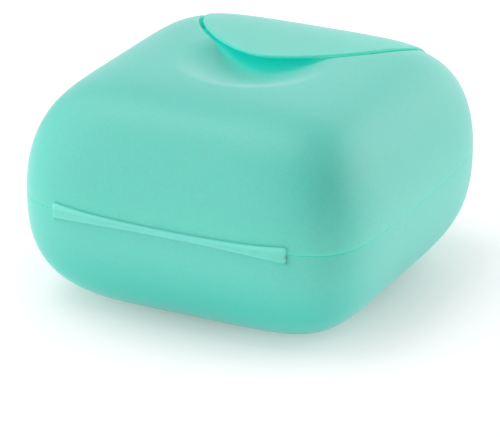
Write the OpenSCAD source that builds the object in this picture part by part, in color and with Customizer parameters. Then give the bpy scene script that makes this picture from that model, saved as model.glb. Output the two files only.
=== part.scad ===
// Travel soap box: a pillow-shaped base and lid joined along one side by a waisted flexible strap, and held
// shut by a clasp that swings up over the far side and lays a half-moon tongue on the lid.
// X runs along the hinge, Y from the hinge side to the clasp side, Z up. The origin is the foot's middle.

/* [Box] */
// Width of the box, along the hinge
box_w = 100; // [92:1:108]
// Depth of the box, from the hinge wall to the clasp wall
box_d = 100.6; // [92:0.1:108]
// Height of the base, from the foot to the seam
base_h = 30; // [28:0.5:33]
// Height of the lid above the seam
lid_h = 31; // [29:0.5:34]
// Thickness of the moulded walls
wall = 1.8; // [1.4:0.1:2.2]
// Squareness of the plan, where 2 would be an ellipse
plan_power = 5.8; // [5:0.1:6.5]
// How straight the lid's walls stand before they turn in
lid_wall_power = 5.5; // [4.5:0.1:6]
// How flat the lid's crown is
lid_crown_power = 2.15; // [2:0.05:2.6]
// Height at which the base's curve would close if the foot were not flat
base_round_h = 34.3; // [34:0.1:40]
// How straight the base's walls stand before they turn in
base_wall_power = 3.4; // [3:0.1:4]
// How flat the base's curve is below
base_crown_power = 2.65; // [2.4:0.05:3]

/* [Rim and seal] */
// Height of the collar that stands up inside the lid
collar_h = 3; // [2.5:0.1:3.5]
// Thickness of the collar
collar_t = 1.2; // [1:0.1:1.4]
// Gap between the collar and the lid's wall
collar_gap = 0.25; // [0.2:0.05:0.4]
// Height and width of the seal ring's section
seal_t = 1.6; // [1.4:0.1:1.8]

/* [Hinge strap] */
// Length of each strap along the seam
strap_w = 68; // [60:1:70]
// Height of the strap at its ends
strap_end_h = 5.4; // [5:0.1:6]
// Height of the strap at its waist
strap_waist_h = 1.6; // [1.4:0.1:2]
// How far the strap stands out from the wall
strap_proud = 1.1; // [1:0.1:1.4]
// How far the fold line lies below the seam
fold_drop = 0.5; // [0.4:0.1:0.6]

/* [Clasp] */
// Width of the clasp
clasp_w = 64; // [56:1:66]
// Distance of the tongue's front edge behind the middle of the lid
tongue_front = 1.6; // [0:0.1:4]
// Length over which the tongue's edge curves back to its full width
tongue_sweep = 32.4; // [30:0.1:33]
// Roundness of the tongue's edge
tongue_power = 1.6; // [1.5:0.05:1.8]
// Thickness of the clasp
clasp_t = 1.6; // [1.4:0.1:1.8]
// How far the tongue stands proud of the lid
tongue_proud = 0.6; // [0.4:0.1:0.8]
// Gap between the tongue's edge and the seat around it
seat_gap = 0.9; // [0.7:0.1:1.2]
// Extra depth of the seat at the far edge, which the clasp needs to swing clear
seat_bevel = 5.3; // [5.2:0.1:5.5]
// Radius of the finger scoop's rim in the lid
scoop_r = 19.5; // [16:0.5:21]
// Depth of the finger scoop
scoop_depth = 4.5; // [3.5:0.1:5]

/* [Drain tray] */
// Height of the tray's plate above the foot
tray_z = 7; // [6:0.5:9]
// Thickness of the tray's plate
tray_t = 1.6; // [1.4:0.1:2]
// Gap between the tray and the base's wall
tray_gap = 1.2; // [1:0.1:2]
// Width of each drain slot
slot_w = 4; // [3:0.5:5]

/* [Hidden] */

mint = [0.56, 0.86, 0.80];
mint_strap = [0.50, 0.82, 0.76];
silicone = [0.92, 0.94, 0.93];
tray_white = [0.95, 0.97, 0.96];

half_w = box_w / 2;
half_d = box_d / 2;
fold_z = base_h - fold_drop;
side_gap = 0.3;          // clearance between the clasp or a strap and a wall that it does not join
bite = 0.2;              // how far a strap's foot goes into the wall that carries it
embed = 0.3;             // how far a band goes into the wall that carries it
clasp_proud = side_gap + clasp_t;
seat_clear = 0.35;       // clearance under the tongue at its front
seat_depth = clasp_t - tongue_proud + seat_clear;
seat_low = 4;            // rise angle at which the seat starts above the seam
dent_low = 14;           // rise angle at which the dent over the cavity starts
dent_reach = 20;         // how far the dent's block reaches up out of the cavity
strap_power = 2.6;       // shape of the strap's waisted edges
strap_step = 0.15;       // height above the seam at which the hinge strap meets the lid
clasp_strap_w = clasp_w - 4;
clasp_strap_proud = clasp_proud + 0.5;
collar_inset = wall + collar_gap;
seal_clear = 0.3;        // gap between the seal ring and what it would press on
seal_inset = wall + seal_clear;
seal_z = base_h + collar_h + seal_clear;
ledge_h = 1.2;           // height of the ledge in the lid that backs the seal ring
collar_root = 5;         // how far the collar's root reaches down inside the base
pocket_scale = 0.6;      // size of the hollow inside the foot, as a share of the plan
pocket_depth = 0.5;
tray_half_w = (half_w - wall) * cavity_scale(tray_z) - tray_gap;
tray_half_d = (half_d - wall) * cavity_scale(tray_z) - tray_gap;
tray_rim_t = 1.4;
tray_rim_h = 2;
slot_l = 54;
slot_pairs = 3;          // slots on each side of the middle one
slot_pitch = 9;
rib_w = 2;
rib_h = 1.2;
notch_r = 8;             // finger notches that lift the tray
leg_at = 2.5 * slot_pitch; // the legs stand under ribs, clear of the slots
leg_d = slot_pitch - slot_w - 0.4;
columns = 72;            // points around each ring of the box
corner_crowding = 3.2;   // draws the points of a ring towards its corners
rise_crowding = 1.7;     // draws the rings of the lid towards its crown
row_crowding = 1.25;     // draws the rows of a moon sheet towards the tongue's edge
pole_gap = 0.25;         // what the last ring stays short of the crown's pole, in steps
lid_steps = 17;          // rings up the outside and the inside of the lid and the base
lid_inner_steps = 13;
base_steps = 14;
base_inner_steps = 12;
moon_columns = 16;       // columns across half of a moon sheet
clasp_rows = 17;         // rows from the tongue's edge down the clasp, the seat and the dent
seat_rows = 13;
dent_rows = 10;
strap_steps = 16;        // sections along half of a strap
over = 4;                // how far a cutter reaches past what it cuts

function signed_pow(v, n) = sign(v) * pow(abs(v), n);

// Point on the plan's superellipse in the direction set by the angle u.
function plan_point(a, b, u) =
    let (dx = signed_pow(cos(u), 2 / corner_crowding), dy = signed_pow(sin(u), 2 / corner_crowding))
    let (k = pow(pow(abs(dx), plan_power) + pow(abs(dy), plan_power), -1 / plan_power))
    [a * k * dx, b * k * dy];

function plan_ring(a, b, z) =
    [for (i = [0:columns - 1]) let (p = plan_point(a, b, 360 * i / columns)) [p.x, p.y, z]];

// Angles up a half profile, from 0 at the seam towards 90 at the crown, closer together near the crown.
function rise_angle(f) = 90 * (1 - pow(1 - f, rise_crowding));

// Plan scale and height on the half profile (scale^wall + (z / h)^crown = 1) at an angle.
function profile_scale(a, wall_power) = pow(cos(a), 2 / wall_power);
function profile_height(a, h, crown_power) = h * pow(sin(a), 2 / crown_power);

// Solid through a stack of rings of equal length, listed upwards, each ring counter-clockwise from above.
module loft(rings) {
    n = len(rings);
    m = len(rings[0]);
    polyhedron(
        points = [for (r = rings) each r],
        faces = concat(
            [[for (i = [0:m - 1]) i]],
            [for (j = [0:n - 2], i = [0:m - 1]) let (k = (i + 1) % m)
                [j * m + i, (j + 1) * m + i, (j + 1) * m + k]],
            [for (j = [0:n - 2], i = [0:m - 1]) let (k = (i + 1) % m)
                [j * m + i, (j + 1) * m + k, j * m + k]],
            [[for (i = [m - 1:-1:0]) (n - 1) * m + i]]
        ),
        convexity = 6
    );
}

// Upper half pillow above the seam, drawn in by inset all round.
module lid_pillow(inset, steps, down) {
    rises = [for (i = [0:steps]) rise_angle(i / (steps + pole_gap))];
    loft(concat(
        down > 0 ? [plan_ring(half_w - inset, half_d - inset, base_h - down)] : [],
        [for (a = rises)
            let (s = profile_scale(a, lid_wall_power))
            plan_ring((half_w - inset) * s, (half_d - inset) * s,
                      base_h + profile_height(a, lid_h - inset, lid_crown_power))]
    ));
}

// Lower half pillow, from a flat floor at height low up to the seam.
module base_pillow(inset, low, steps, up) {
    reach = base_round_h - inset;
    floor_angle = asin(pow((base_h - low) / reach, base_crown_power / 2));
    loft(concat(
        [for (i = [0:steps])
            let (a = floor_angle * (1 - i / steps), s = profile_scale(a, base_wall_power))
            plan_ring((half_w - inset) * s, (half_d - inset) * s,
                      base_h - profile_height(a, reach, base_crown_power))],
        up > 0 ? [plan_ring(half_w - inset, half_d - inset, base_h + up)] : []
    ));
}

// Ring-shaped band that follows the plan, between two insets and two heights.
module band(outer_inset, inner_inset, z0, z1) {
    translate([0, 0, z0]) linear_extrude(z1 - z0) difference() {
        polygon([for (p = plan_ring(half_w - outer_inset, half_d - outer_inset, 0)) [p.x, p.y]]);
        polygon([for (p = plan_ring(half_w - inner_inset, half_d - inner_inset, 0)) [p.x, p.y]]);
    }
}

// Half depth of the plan at a distance x from the middle.
function rim_y(x) = half_d * pow(1 - pow(abs(x) / half_w, plan_power), 1 / plan_power);

// Point of the lid's far half at x and a rise angle, raised by lift at the crown and moved out by out at the
// wall.
function lid_point(x, a, lift, out) =
    let (v = profile_scale(a, lid_wall_power), edge = pow(abs(x) / half_w, plan_power))
    let (scale = pow(edge + (1 - edge) * pow(v, plan_power), 1 / plan_power))
    [x, (rim_y(x) + out) * v,
     base_h + (lid_h + lift) * pow(max(0, 1 - pow(scale, lid_wall_power)), 1 / lid_crown_power)];

// Depth of the clasp's seat below the lid's surface at a rise angle: shallow under the tongue, deep at the
// far edge.
function seat_cut(a) = seat_depth * pow(sin(a), 2) + seat_bevel * sin(a) * sin(2 * a);

// The lid's surface sunk by the seat's depth and by more, square to the profile.
function seat_point(x, a, more) =
    let (p = lid_point(x, a, 0, 0), d = seat_cut(a) + more)
    let (v = profile_scale(a, lid_wall_power), t = pow(sin(a), 2 / lid_crown_power))
    let (ny = lid_wall_power / half_d * pow(v, lid_wall_power - 1))
    let (nz = lid_crown_power / lid_h * pow(t, lid_crown_power - 1))
    let (n = norm([ny, nz]))
    [x, p.y - d * ny / n, p.z - d * nz / n];

// Front edge of the half moon at x, for an outline moved out by grow.
function tongue_y(x, grow) =
    let (f = min(1, abs(x) / (clasp_w / 2 + grow)))
    tongue_front - grow + (tongue_sweep + grow) * (1 - pow(1 - pow(f, tongue_power), 1 / tongue_power));

// Rise angle at which the lid's far half reaches y at x, for a y beyond the middle line.
function angle_at(x, y) = acos(pow(min(1, max(0, y / rim_y(x))), lid_wall_power / 2));

// Place of a column across the half moon, closer together at its ends.
function moon_x(i, grow) = (clasp_w / 2 + grow) * sin(90 * i / moon_columns);

// Sheet that follows the lid's far half inside the half-moon outline, between two surfaces.
// top and under give a point from x and a rise angle; the sheet ends at the rise angle low.
module moon_sheet(grow, rows, low, top, under) {
    xs = [for (i = [-moon_columns:moon_columns]) moon_x(i, grow)];
    angles = [for (x = xs)
        let (start = angle_at(x, tongue_y(x, grow)))
        [for (j = [0:rows]) low + (start - low) * pow(1 - j / rows, row_crowding)]];
    n = len(xs);
    m = rows + 1;
    upper = [for (i = [0:n - 1], a = angles[i]) top(xs[i], a)];
    lower = [for (i = [0:n - 1], a = angles[i]) under(xs[i], a)];
    function at(i, j, side) = side * n * m + i * m + j;
    polyhedron(
        points = concat(upper, lower),
        faces = concat(
            [for (i = [0:n - 2], j = [0:m - 2]) [at(i, j, 0), at(i, j + 1, 0), at(i + 1, j, 0)]],
            [for (i = [0:n - 2], j = [0:m - 2]) [at(i + 1, j, 0), at(i, j + 1, 0), at(i + 1, j + 1, 0)]],
            [for (i = [0:n - 2], j = [0:m - 2]) [at(i, j, 1), at(i + 1, j, 1), at(i, j + 1, 1)]],
            [for (i = [0:n - 2], j = [0:m - 2]) [at(i + 1, j, 1), at(i + 1, j + 1, 1), at(i, j + 1, 1)]],
            [for (i = [0:n - 2], j = [0, m - 1]) let (k = j == 0 ? 1 : 0)
                [at(i, j, k), at(i, j, 1 - k), at(i + 1, j, 1 - k)]],
            [for (i = [0:n - 2], j = [0, m - 1]) let (k = j == 0 ? 1 : 0)
                [at(i, j, k), at(i + 1, j, 1 - k), at(i + 1, j, k)]],
            [for (j = [0:m - 2], i = [0, n - 1]) let (k = i == 0 ? 0 : 1)
                [at(i, j, k), at(i, j, 1 - k), at(i, j + 1, 1 - k)]],
            [for (j = [0:m - 2], i = [0, n - 1]) let (k = i == 0 ? 0 : 1)
                [at(i, j, k), at(i, j + 1, 1 - k), at(i, j + 1, k)]]
        ),
        convexity = 6
    );
}

// Ball whose lowest cap cuts a dish of radius r and depth d into the crown.
module dish(r, d) {
    ball = (r * r + d * d) / (2 * d);
    translate([0, 0, base_h + lid_h - d + ball]) sphere(r = ball, $fn = 160);
}

module base_shell() color(mint) {
    difference() {
        union() {
            difference() {
                base_pillow(0, 0, base_steps, 0);
                base_pillow(wall, wall, base_inner_steps, over);
            }
            band(wall - embed, collar_inset + collar_t, base_h - collar_root, base_h);
            band(collar_inset, collar_inset + collar_t, base_h - collar_root, base_h + collar_h);
        }
        translate([0, 0, -over]) linear_extrude(over + pocket_depth)
            polygon([for (p = plan_ring(half_w * pocket_scale, half_d * pocket_scale, 0)) [p.x, p.y]]);
    }
}

module lid_shell() color(mint) {
    difference() {
        lid_pillow(0, lid_steps, 0);
        difference() {
            lid_pillow(wall, lid_inner_steps, over);
            moon_sheet(seat_gap + wall, dent_rows, dent_low,
                function(x, a) seat_point(x, a, wall - dent_reach),
                function(x, a) seat_point(x, a, wall));
            dish(scoop_r + wall, scoop_depth + wall);
        }
        moon_sheet(seat_gap, seat_rows, seat_low,
            function(x, a) lid_point(x, a, over, over),
            function(x, a) seat_point(x, a, 0));
        dish(scoop_r, scoop_depth);
    }
    band(wall - embed, seal_inset + seal_t, seal_z + seal_t, seal_z + seal_t + ledge_h);
}

// Half height of a strap's outline at x, from its waist out to its square ends.
function strap_half(x, half_l) =
    (strap_waist_h + (strap_end_h - strap_waist_h) * pow(abs(x) / half_l, strap_power)) / 2;

// Upper leaf of a strap on the hinge side: a plate above the fold line that hangs clear in front of the wall
// up to the height step_z, and above it joins what carries it. Its faces lie at distances out, foot and clear
// from the rim.
module upper_leaf(half_l, out, foot, clear, step_z) {
    n = strap_steps;
    rings = [for (i = [-n:n]) let (x = half_l * i / n, y = -rim_y(x), top = fold_z + strap_half(x, half_l))
        [[x, y - out, fold_z], [x, y - clear, fold_z], [x, y - clear, step_z],
         [x, y - foot, step_z], [x, y - foot, top], [x, y - out, top]]];
    loft(rings);
}

// Lower leaf of a strap on the hinge side: a rib on the base's wall below the fold line.
module lower_leaf(half_l, out) {
    n = strap_steps;
    rings = [for (i = [-n:n]) let (x = half_l * i / n, y = -rim_y(x), low = fold_z - strap_half(x, half_l))
        [[x, y - out, low], [x, y + bite, low], [x, y + bite, fold_z], [x, y - out, fold_z]]];
    loft(rings);
}

module hinge_strap_lid() color(mint_strap)
    upper_leaf(strap_w / 2, strap_proud, -bite, side_gap, base_h + strap_step);

module hinge_strap_base() color(mint_strap) lower_leaf(strap_w / 2, strap_proud);

// The clasp: a sheet that follows the lid from the tongue's edge over the far side and down to the seam.
module clasp() color(mint) moon_sheet(0, clasp_rows, 0,
    function(x, a) lid_point(x, a, tongue_proud, clasp_proud),
    function(x, a) lid_point(x, a, tongue_proud - clasp_t, side_gap));

module clasp_hinge_clasp() color(mint_strap) mirror([0, 1, 0])
    upper_leaf(clasp_strap_w / 2, clasp_strap_proud, clasp_proud - bite, side_gap, base_h);

module clasp_hinge_base() color(mint_strap) mirror([0, 1, 0])
    lower_leaf(clasp_strap_w / 2, clasp_strap_proud);

module seal_ring() color(silicone) band(seal_inset, seal_inset + seal_t, seal_z, seal_z + seal_t);

// Half sizes of the base's cavity at height z.
function cavity_scale(z) =
    profile_scale(asin(pow((base_h - z) / (base_round_h - wall), base_crown_power / 2)), base_wall_power);

module drain_slot() {
    straight = slot_l - slot_w;
    translate([-slot_w / 2, -straight / 2, -over]) cube([slot_w, straight, 3 * over]);
    for (end = [-1, 1])
        translate([0, end * straight / 2, -over]) cylinder(d = slot_w, h = 3 * over, $fn = 48);
}

module drain_tray() color(tray_white) {
    plate = [for (p = plan_ring(tray_half_w, tray_half_d, 0)) [p.x, p.y]];
    inside = [for (p = plan_ring(tray_half_w - tray_rim_t, tray_half_d - tray_rim_t, 0)) [p.x, p.y]];
    translate([0, 0, tray_z]) difference() {
        union() {
            linear_extrude(tray_t) polygon(plate);
            linear_extrude(tray_t + tray_rim_h) difference() {
                polygon(plate);
                polygon(inside);
            }
            for (i = [-slot_pairs - 0.5:slot_pairs + 0.5])
                translate([i * slot_pitch - rib_w / 2, -slot_l / 2, tray_t]) cube([rib_w, slot_l, rib_h]);
        }
        for (i = [-slot_pairs:slot_pairs]) translate([i * slot_pitch, 0, 0]) drain_slot();
        for (side = [-1, 1])
            translate([side * tray_half_w, 0, -over]) cylinder(r = notch_r, h = 3 * over, $fn = 64);
    }
    for (sx = [-1, 1], sy = [-1, 1])
        translate([sx * leg_at, sy * leg_at, wall]) cylinder(d = leg_d, h = tray_z - wall, $fn = 48);
}

base_shell();
lid_shell();
hinge_strap_lid();
hinge_strap_base();
clasp();
clasp_hinge_clasp();
clasp_hinge_base();
seal_ring();
drain_tray();
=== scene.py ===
# Travel soap box in satin mint plastic: the looks of its shells, clasp, straps, seal ring and drain tray.
# Sizes are millimetres until a surface becomes a mesh, and metres in the finishes, the lights and the camera.
# X runs along the hinge, Y from the hinge side to the clasp side and Z up.
import math

import bpy
import numpy as np
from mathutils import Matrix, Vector


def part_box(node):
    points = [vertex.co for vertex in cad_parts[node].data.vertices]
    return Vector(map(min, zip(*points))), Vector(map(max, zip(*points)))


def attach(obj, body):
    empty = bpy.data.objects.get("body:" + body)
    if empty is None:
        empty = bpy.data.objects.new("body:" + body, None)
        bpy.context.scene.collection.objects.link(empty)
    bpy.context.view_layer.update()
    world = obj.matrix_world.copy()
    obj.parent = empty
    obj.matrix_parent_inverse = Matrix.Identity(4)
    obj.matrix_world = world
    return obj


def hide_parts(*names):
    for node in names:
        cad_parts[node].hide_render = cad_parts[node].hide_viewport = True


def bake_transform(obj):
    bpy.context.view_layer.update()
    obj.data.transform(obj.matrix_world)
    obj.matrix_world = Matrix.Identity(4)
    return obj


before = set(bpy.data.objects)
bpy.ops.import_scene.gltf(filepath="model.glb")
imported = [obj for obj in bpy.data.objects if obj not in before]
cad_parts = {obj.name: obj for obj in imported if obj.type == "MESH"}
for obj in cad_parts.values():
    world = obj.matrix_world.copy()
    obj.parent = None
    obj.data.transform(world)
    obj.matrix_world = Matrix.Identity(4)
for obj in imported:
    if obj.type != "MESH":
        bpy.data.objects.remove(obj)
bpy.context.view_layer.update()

MM = 0.001
TINY = 1e-9


def solid_box(node):
    """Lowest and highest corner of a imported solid, in millimetres."""
    low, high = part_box(node)
    return np.array(low) / MM, np.array(high) / MM


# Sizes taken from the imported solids
base_high = solid_box("base_shell")[1]
lid_low, lid_high = solid_box("lid_shell")
clasp_low, clasp_high = solid_box("clasp")
strap_low, strap_high = solid_box("hinge_strap_lid")
clasp_strap_high = solid_box("clasp_hinge_clasp")[1]
seal_low, seal_high = solid_box("seal_ring")
tray_low, tray_high = solid_box("drain_tray")
HALF_W = lid_high[0]
HALF_D = lid_high[1]
SEAM = lid_low[2]
COLLAR_TOP = base_high[2]
FOLD = strap_low[2]

# Clasp: how far the tongue stands above the lid, the share of its thickness that its edge loses, its gap to
# the wall below, how far its sides and its front lie inside the solid's, and the rise angle that it ends at
TONGUE_PROUD = 0.6
TONGUE_THIN = 0.5
TOP_EDGE_R = 0.4
LOW_EDGE_R = 0.25
CLASP_T = 1.6
SIDE_GAP = 0.3
SIDES_IN = 0.4
FRONT_IN = 1.1
CLASP_HALF_W = clasp_high[0] - SIDES_IN
TONGUE_FRONT = clasp_low[1] + FRONT_IN
TONGUE_SWEEP = 32.4
TONGUE_POWER = 1.6
CLASP_LOW = 0.001
LID_H = clasp_high[2] - SEAM - TONGUE_PROUD

# Curves of the box: plan, lid profile and base profile
PLAN_POWER = 5.8
LID_WALL_POWER = 5.5
LID_CROWN_POWER = 2.15
BASE_ROUND_H = 34.3
BASE_WALL_POWER = 3.4
BASE_CROWN_POWER = 2.65
WALL = 1.8
FOOT_FILLET = 1.8
FLOOR_FILLET = 1.2
POCKET_SCALE = 0.6
POCKET_DEPTH = 0.5
GATE_R = 1.6
GATE_H = 0.25

# Seat of the clasp in the lid, and the finger scoop. The angles are where the seat and the dent under it end.
SEAT_GAP = 0.9
SEAT_DEPTH = 1.35
SEAT_BEVEL = 5.3
SEAT_LOW = math.radians(4)
DENT_LOW = math.radians(14)
LIP_R = 0.55
LIP_FOOT_R = 0.4
DENT_LIP_R = 0.8
LIP_SHARE = 0.45
SCOOP_R = 19.5
SCOOP_DEPTH = 4.5
SCOOP_BLEND = 1.4

# Rims and seal. HOLD is how far from a corner a row lies that keeps it crisp, and ROOT_ROUND gives the
# round under the collar as (outwards, upwards) steps.
EDGE_R = 0.18
BASE_EDGE_R = 0.32
HOLD = 0.1
COLLAR_GAP = 0.25
COLLAR_T = 1.2
COLLAR_FLAT = 0.15
COLLAR_ROUND_R = COLLAR_T / 2 - COLLAR_FLAT
COLLAR_ROOT = 5
ROOT_ROUND = ((0, 0.4), (0.15, 0.1), (0.5, 0))
LEDGE_H = 1.2
BAND_T = seal_high[2] - seal_low[2]
SEAL_INSET = HALF_W - seal_high[0]
SEAL_CORNER_R = 0.5

# Straps: the hinge's and the clasp's. Their ends have a share of the solid's height. They bite into the walls
# by BITE.
STRAP_WAIST_H = 2.1
STRAP_END_SHARE = 0.91
STRAP_END_H = 2 * STRAP_END_SHARE * (strap_high[2] - FOLD)
STRAP_POWER = 2.6
STRAP_END_R = 0.7
STRAP_HALF = strap_high[0]
STRAP_PROUD = -HALF_D - strap_low[1]
CLASP_STRAP_HALF = clasp_strap_high[0]
CLASP_STRAP_PROUD = clasp_strap_high[1] - HALF_D
BITE = 0.2

# Drain tray. FRAME_STEP is how far the frame's faces lie inside the slot cells', ROOT how deep ribs and legs
# reach into the plate, and LEG_FILLET gives the top of a leg as (wider, height above the plate's underside).
TRAY_HALF = tray_high[:2]
TRAY_T = 1.6
TRAY_RIM_H = 2
TRAY_RIM_T = 1.4
TRAY_TOP = tray_high[2] - TRAY_RIM_H
TRAY_UNDER = TRAY_TOP - TRAY_T
TRAY_EDGE_R = 0.4
TRAY_FILLET = 0.5
FRAME_STEP = 0.03
NOTCH_R = 8
NOTCH_GROWTH = 0.7
SLOT_PAIRS = 3
SLOT_PITCH = 9
SLOT_L = 54
SLOT_W = 4
SLOT_EDGE_R = 0.35
CELL_OVERLAP = 0.05
CELL_SINK = 0.01
RIB_W = 2
RIB_H = 1.2
ROUND_R = 0.6
ROOT = 0.4
LEG_AT = 2.5 * SLOT_PITCH
LEG_CLEAR = 0.4
LEG_R = (SLOT_PITCH - SLOT_W - LEG_CLEAR) / 2
LEG_FILLET = ((0, -0.4), (0.05, -0.15), (0.15, 0.02), (0, ROOT))

# Columns of the rings round the clasp and its seat, and the point of the unrolled lid, under the tongue,
# that they open out from. Rows lie closer together towards the seat's lip and just outside it.
MOON_POINTS = 270
SIDE_POINTS = 45
BOTTOM_POINTS = 60
COLUMNS = MOON_POINTS + 2 * SIDE_POINTS + BOTTOM_POINTS
MOON_MIDDLE = np.array([0.0, 38.0])
SEAT_CROWDING = 0.8
OUTER_CROWDING = 1.6
FAR_OUT = 200.0
HALVINGS = 60

# Points of a fine curve that is read between its points, and columns of the rings that follow the plan
PROFILE_POINTS = 6001
BASE_COLUMNS = 384
SEAL_COLUMNS = 256
CORNER_CROWDING = 3.2


def signed_power(value, power):
    """Power of a value's size, with the value's sign."""
    return np.sign(value) * np.abs(value) ** power


def smooth_step(value, start, width):
    """0 up to start, 1 from start + width on, and s * s * (3 - 2 * s) of the share s between the two."""
    share = np.clip((value - start) / width, 0, 1)
    return share * share * (3 - 2 * share)


def soft_min(a, b, blend):
    """The smaller of two heights, with the crease between them rounded over the width blend."""
    near = np.maximum(blend - np.abs(a - b), 0) / blend
    return np.minimum(a, b) - near * near * blend / 4


def soft_max(a, b, blend):
    """The larger of two heights, with the crease between them rounded over the width blend."""
    return -soft_min(-a, -b, blend)


def plan_radius(points):
    """Superellipse radius of flat points: (|x| ** power + |y| ** power) ** (1 / power), 1 on a plan with half
    sizes of one."""
    return (np.abs(points) ** PLAN_POWER).sum(-1) ** (1 / PLAN_POWER)


class Pillow:
    """The lid's half of the box, upwards from the seam. Over a plan point it rises by
    height * (1 - scale ** wall_power) ** (1 / crown_power), where scale is the point's superellipse radius,
    0 in the middle and 1 on the rim. Unrolled, a point keeps its direction from the middle, and its distance
    is the length of the profile that leads to it."""

    def __init__(self, inset, height):
        self.half = np.array([HALF_W - inset, HALF_D - inset])
        turn = np.linspace(math.pi / 2, 0, PROFILE_POINTS)
        self.scales = np.cos(turn) ** (2 / LID_WALL_POWER)
        self.scales[0] = 0
        self.rises = height * np.sin(turn) ** (2 / LID_CROWN_POWER)
        steps = np.hypot(np.diff(self.scales) * self.half[1], np.diff(self.rises))
        self.runs = np.concatenate([[0], np.cumsum(steps)]) / self.half[1]

    def radius(self, points):
        """Superellipse radius of plan or flat points: 0 in the middle and 1 on the plan's outline."""
        return plan_radius(points / self.half)

    def run_at_rise(self, rise):
        """Length of the profile, over the half depth, from the middle to where it is at the height rise."""
        return np.interp(rise, self.rises[::-1], self.runs[::-1])

    def unroll(self, plan):
        """Flat points of the unrolled lid for plan points."""
        scale = self.radius(plan)
        return plan * (np.interp(scale, self.scales, self.runs) / np.maximum(scale, TINY))[..., None]

    def roll(self, flat):
        """Surface points for flat points of the unrolled lid."""
        run = self.radius(flat)
        plan = flat * (np.interp(run, self.runs, self.scales) / np.maximum(run, TINY))[..., None]
        return np.dstack([plan[..., 0], plan[..., 1], SEAM + np.interp(run, self.runs, self.rises)])

    def half_depth(self, x):
        """Half depth of the plan at x: half[1] * (1 - |x / half[0]| ** power) ** (1 / power)."""
        share = np.minimum(np.abs(x) / self.half[0], 1)
        return self.half[1] * (1 - share ** PLAN_POWER) ** (1 / PLAN_POWER)

    def sheet_angle(self, points):
        """Rise angle of surface points within their own sheet x = constant, 0 on the rim."""
        reach = self.half_depth(points[..., 0])
        share = np.clip(points[..., 1] / np.maximum(reach, TINY), 0, 1)
        return np.arccos(share ** (LID_WALL_POWER / 2))

    def sheet_normal(self, angle):
        """Normal of the sheet x = constant at a rise angle: the slope of y ** wall_power + z ** crown_power
        = 1, as its y and z parts."""
        scale = np.cos(angle) ** (2 / LID_WALL_POWER)
        rise = np.sin(angle) ** (2 / LID_CROWN_POWER)
        ny = LID_WALL_POWER / self.half[1] * scale ** (LID_WALL_POWER - 1)
        nz = LID_CROWN_POWER / LID_H * rise ** (LID_CROWN_POWER - 1)
        size = np.hypot(ny, nz)
        return ny / size, nz / size

    def sink(self, flat, depth):
        """Points of the rolled-up lid, moved in by a depth along the normal of their sheet."""
        points = self.roll(flat)
        ny, nz = self.sheet_normal(self.sheet_angle(points))
        points[..., 1] -= depth * ny
        points[..., 2] -= depth * nz
        return points


LID_OUTSIDE = Pillow(0, LID_H)
LID_INSIDE = Pillow(WALL, LID_H - WALL)


def tongue_edge(x, grow):
    """Front edge of the half moon at x, for an outline moved out by grow: from the front it falls back by
    sweep * (1 - (1 - share ** power) ** (1 / power)), where share is x over the clasp's half width."""
    share = np.minimum(1, np.abs(x) / (CLASP_HALF_W + grow))
    curve = (1 - share ** TONGUE_POWER) ** (1 / TONGUE_POWER)
    return TONGUE_FRONT - grow + (TONGUE_SWEEP + grow) * (1 - curve)


def moon_outline(pillow, grow, low):
    """Closed outline of the clasp on the unrolled lid: round the half moon from right to left, down the left
    side to the rise angle low, along the bottom and up the right side."""
    half = CLASP_HALF_W + grow
    turn = np.linspace(math.pi / 2, -math.pi / 2, MOON_POINTS, endpoint=False)
    moon_x = half * np.sin(turn)
    moon = np.column_stack([moon_x, tongue_edge(moon_x, grow)])
    reach = pillow.half_depth(half)
    top = np.arccos((tongue_edge(half, grow) / reach) ** (LID_WALL_POWER / 2))
    down = np.linspace(top, low, SIDE_POINTS, endpoint=False)
    left = np.column_stack([np.full(SIDE_POINTS, -half), reach * np.cos(down) ** (2 / LID_WALL_POWER)])
    along = np.linspace(-half, half, BOTTOM_POINTS, endpoint=False)
    bottom = np.column_stack([along, pillow.half_depth(along) * math.cos(low) ** (2 / LID_WALL_POWER)])
    up = np.linspace(low, top, SIDE_POINTS, endpoint=False)
    right = np.column_stack([np.full(SIDE_POINTS, half), reach * np.cos(up) ** (2 / LID_WALL_POWER)])
    return pillow.unroll(np.concatenate([moon, left, bottom, right]))


def outward(loop):
    """Unit normals of a closed flat loop, pointing away from what it encloses."""
    along = np.roll(loop, -1, 0) - np.roll(loop, 1, 0)
    normal = np.column_stack([-along[:, 1], along[:, 0]])
    normal /= np.linalg.norm(normal, axis=1)[:, None]
    turning = np.sign(((loop - MOON_MIDDLE) * normal).sum(1).sum())
    return normal * turning


def seat_depth(angle):
    """Depth of the clasp's seat at a rise angle: shallow under the tongue, deep at the far shoulder."""
    return SEAT_DEPTH * np.sin(angle) ** 2 + SEAT_BEVEL * np.sin(angle) * np.sin(2 * angle)


def scoop(points, inset):
    """Points lowered into the finger scoop: a ball's cap about the middle of the lid, with a soft rim."""
    radius, depth = SCOOP_R + inset, SCOOP_DEPTH + inset
    ball = (radius ** 2 + depth ** 2) / (2 * depth)
    away = np.minimum(np.hypot(points[..., 0], points[..., 1]), ball)
    dish = SEAM + LID_H - depth + ball - np.sqrt(ball ** 2 - away ** 2)
    points[..., 2] = soft_min(points[..., 2], dish, SCOOP_BLEND)
    return points


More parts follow.
